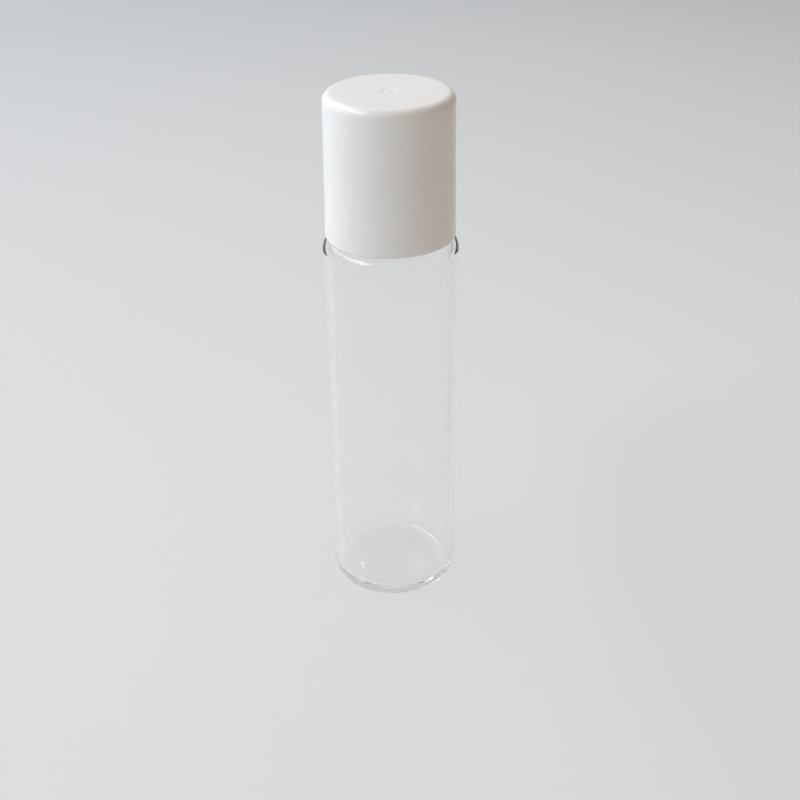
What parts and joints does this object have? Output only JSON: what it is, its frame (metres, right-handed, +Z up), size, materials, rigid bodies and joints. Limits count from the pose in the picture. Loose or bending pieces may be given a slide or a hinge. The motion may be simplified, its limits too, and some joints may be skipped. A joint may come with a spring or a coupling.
{
  "type": "roll-on bottle",
  "caption": "Slim clear glass roll-on bottle with a white press-in ball housing, a polished steel roller ball and a glossy white screw cap lined with a sealing disc.",
  "frame": {"origin": "middle of the base ring, on the surface that the bottle stands on", "axes": "+Z up along the bottle's axis, from its base to its cap; the neck's thread starts on the +X side"},
  "size_m": [0.02, 0.02, 0.081],
  "materials": {
    "clear_glass": "clear, smooth",
    "housing_plastic": "satin white moulded plastic",
    "ball_steel": "polished stainless steel",
    "cap_plastic": "glossy white moulded plastic",
    "liner_foam": "dull white closed-cell foam"
  },
  "bodies": {
    "bottle": {"bottle": "clear_glass", "ball_housing": "housing_plastic"},
    "roller_ball": {"roller_ball": "ball_steel"},
    "cap_liner": {"cap_liner": "liner_foam"},
    "cap": {"cap": "cap_plastic"}
  },
  "joints": [
    {"name": "ball_roll", "type": "hinge", "parent": "bottle", "child": "roller_ball", "pos_m": [0, 0, 0.072], "axis": [1, 0, 0], "continuous": true},
    {"name": "cap_rise", "type": "slide", "parent": "bottle", "child": "cap_liner", "axis": [0, 0, 1], "range_m": [0, 0.0192]},
    {"name": "cap_turn", "type": "hinge", "parent": "cap_liner", "child": "cap", "pos_m": [0, 0, 0.07], "axis": [0, 0, 1], "range_deg": [0, 2160]}
  ],
  "couplings": [
    {"joint": "cap_rise", "follows": "cap_turn", "m_per_rad": 0.0005093}
  ]
}
